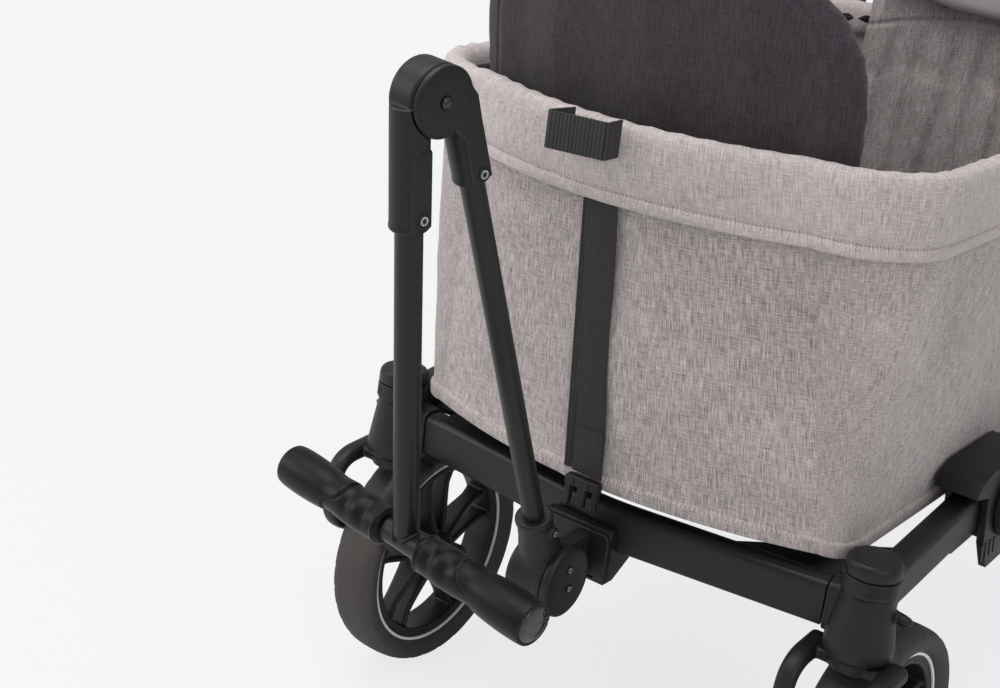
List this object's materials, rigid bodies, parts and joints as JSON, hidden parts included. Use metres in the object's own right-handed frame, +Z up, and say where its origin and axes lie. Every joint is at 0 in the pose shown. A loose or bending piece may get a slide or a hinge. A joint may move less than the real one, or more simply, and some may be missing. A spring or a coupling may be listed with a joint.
{
  "type": "folding wagon",
  "caption": "Folding stroller wagon: tube chassis on spoked wheels with front casters, soft-sided basket with facing seat backs, jointed pull bar and rear push handle.",
  "frame": {"origin": "on the floor under the middle of the footprint", "axes": "+X to the right side as seen from behind the push handle, +Y to the rear (push handle), +Z up; the pull bar is at -Y"},
  "size_m": [0.655, 1.4145, 0.9632],
  "materials": {
    "coated_tube": "matt powder-coated steel tube",
    "black_plastic": "satin black moulded plastic",
    "tyre_rubber": "matt dark grey-brown rubber",
    "grip_rubber": "soft black grip rubber",
    "zinc_steel": "plated steel",
    "heather_fabric": "heather grey woven cloth",
    "charcoal_fabric": "dark charcoal woven cloth",
    "webbing": "black woven strap"
  },
  "bodies": {
    "centre_frame": {"centre_frame": "coated_tube", "basket": "heather_fabric", "basket_floor": "charcoal_fabric", "front_seat_back": "charcoal_fabric", "rear_seat_back": "heather_fabric", "closing_strap": "webbing", "strap_buckle": "black_plastic", "loop_tab": "webbing", "fold_block_front_left": "black_plastic", "fold_block_front_right": "black_plastic", "fold_block_rear_left": "black_plastic", "fold_block_rear_right": "black_plastic", "fold_disc_front_left": "black_plastic", "fold_disc_front_right": "black_plastic", "fold_disc_rear_left": "black_plastic", "fold_disc_rear_right": "black_plastic", "rim_post_left": "coated_tube", "rim_post_right": "coated_tube"},
    "front_chassis": {"front_crossbar": "coated_tube", "pull_bar_bracket": "black_plastic", "caster_housing_left": "black_plastic", "caster_housing_right": "black_plastic", "caster_cap_left": "black_plastic", "caster_cap_right": "black_plastic", "corner_gusset_left": "black_plastic", "corner_gusset_right": "black_plastic", "front_rail_left": "coated_tube", "front_rail_right": "coated_tube"},
    "rear_chassis": {"rear_crossbar": "coated_tube", "rear_axle": "zinc_steel", "rear_rail_left": "coated_tube", "rear_rail_right": "coated_tube", "rear_corner_left": "black_plastic", "rear_corner_right": "black_plastic", "handle_stem_left": "coated_tube", "handle_stem_right": "coated_tube"},
    "front_hoop": {"front_rim_hoop": "coated_tube"},
    "rear_hoop": {"rear_rim_hoop": "coated_tube"},
    "caster_left": {"caster_fork_left": "black_plastic", "front_axle_left": "zinc_steel"},
    "caster_right": {"caster_fork_right": "black_plastic", "front_axle_right": "zinc_steel"},
    "front_wheel_left": {"front_wheel_left": "black_plastic", "front_tyre_left": "tyre_rubber"},
    "front_wheel_right": {"front_wheel_right": "black_plastic", "front_tyre_right": "tyre_rubber"},
    "rear_wheel_left": {"rear_wheel_left": "black_plastic", "rear_tyre_left": "tyre_rubber"},
    "rear_wheel_right": {"rear_wheel_right": "black_plastic", "rear_tyre_right": "tyre_rubber"},
    "pull_hub": {"pull_hub": "black_plastic"},
    "pull_lower": {"pull_tube_lower": "coated_tube", "knee_lower": "black_plastic"},
    "pull_upper": {"knee_upper": "black_plastic", "pull_tube_upper": "coated_tube", "grip_left": "grip_rubber", "grip_right": "grip_rubber"},
    "push_handle": {"push_handle": "coated_tube", "push_grip": "grip_rubber"},
    "brake_pedal": {"brake_pedal": "zinc_steel"}
  },
  "joints": [
    {"name": "fold_front", "type": "hinge", "parent": "centre_frame", "child": "front_chassis", "pos_m": [0, -0.06421, 0.3547], "axis": [1, 0, 0], "range_deg": [0, 44], "deforming": ["basket", "front_seat_back", "rear_seat_back", "closing_strap", "loop_tab"]},
    {"name": "fold_rear", "type": "hinge", "parent": "centre_frame", "child": "rear_chassis", "pos_m": [0, 0.19579, 0.3547], "axis": [-1, 0, 0], "range_deg": [0, 44]},
    {"name": "front_hoop_fold", "type": "hinge", "parent": "centre_frame", "child": "front_hoop", "pos_m": [0, 0.04279, 0.6787], "axis": [1, 0, 0], "range_deg": [0, 40]},
    {"name": "rear_hoop_fold", "type": "hinge", "parent": "centre_frame", "child": "rear_hoop", "pos_m": [0, 0.08879, 0.6787], "axis": [-1, 0, 0], "range_deg": [0, 40]},
    {"name": "caster_swivel_left", "type": "hinge", "parent": "front_chassis", "child": "caster_left", "pos_m": [-0.275, -0.32921, 0.26], "axis": [0, 0, 1], "continuous": true},
    {"name": "caster_swivel_right", "type": "hinge", "parent": "front_chassis", "child": "caster_right", "pos_m": [0.275, -0.32921, 0.26], "axis": [0, 0, 1], "continuous": true},
    {"name": "front_wheel_spin_left", "type": "hinge", "parent": "caster_left", "child": "front_wheel_left", "pos_m": [-0.275, -0.25771, 0.132], "axis": [1, 0, 0], "continuous": true},
    {"name": "front_wheel_spin_right", "type": "hinge", "parent": "caster_right", "child": "front_wheel_right", "pos_m": [0.275, -0.25771, 0.132], "axis": [1, 0, 0], "continuous": true},
    {"name": "rear_wheel_spin_left", "type": "hinge", "parent": "rear_chassis", "child": "rear_wheel_left", "pos_m": [-0.275, 0.46079, 0.132], "axis": [1, 0, 0], "continuous": true},
    {"name": "rear_wheel_spin_right", "type": "hinge", "parent": "rear_chassis", "child": "rear_wheel_right", "pos_m": [0.275, 0.46079, 0.132], "axis": [1, 0, 0], "continuous": true},
    {"name": "pull_bar_tilt", "type": "hinge", "parent": "front_chassis", "child": "pull_hub", "pos_m": [0, -0.43521, 0.2737], "axis": [1, 0, 0], "range_deg": [-15, 75]},
    {"name": "pull_bar_swivel", "type": "hinge", "parent": "pull_hub", "child": "pull_lower", "pos_m": [0, -0.43521, 0.2737], "axis": [0, -0.4003, 0.9164], "range_deg": [-12, 28]},
    {"name": "pull_bar_knee", "type": "hinge", "parent": "pull_lower", "child": "pull_upper", "pos_m": [-0.00328, -0.67138, 0.75588], "axis": [-0.9903, 0.1275, 0.0557], "range_deg": [-5, 165]},
    {"name": "push_handle_fold", "type": "hinge", "parent": "rear_chassis", "child": "push_handle", "pos_m": [0, 0.61079, 0.7017], "axis": [-1, 0, 0], "range_deg": [0, 145]},
    {"name": "brake_pedal_press", "type": "hinge", "parent": "rear_chassis", "child": "brake_pedal", "pos_m": [0, 0.50279, 0.194], "axis": [-1, 0, 0], "range_deg": [0, 20]}
  ],
  "couplings": [
    {"joint": "fold_rear", "follows": "fold_front", "ratio": 1},
    {"joint": "front_hoop_fold", "follows": "fold_front", "ratio": 0.909},
    {"joint": "rear_hoop_fold", "follows": "fold_front", "ratio": 0.909}
  ]
}
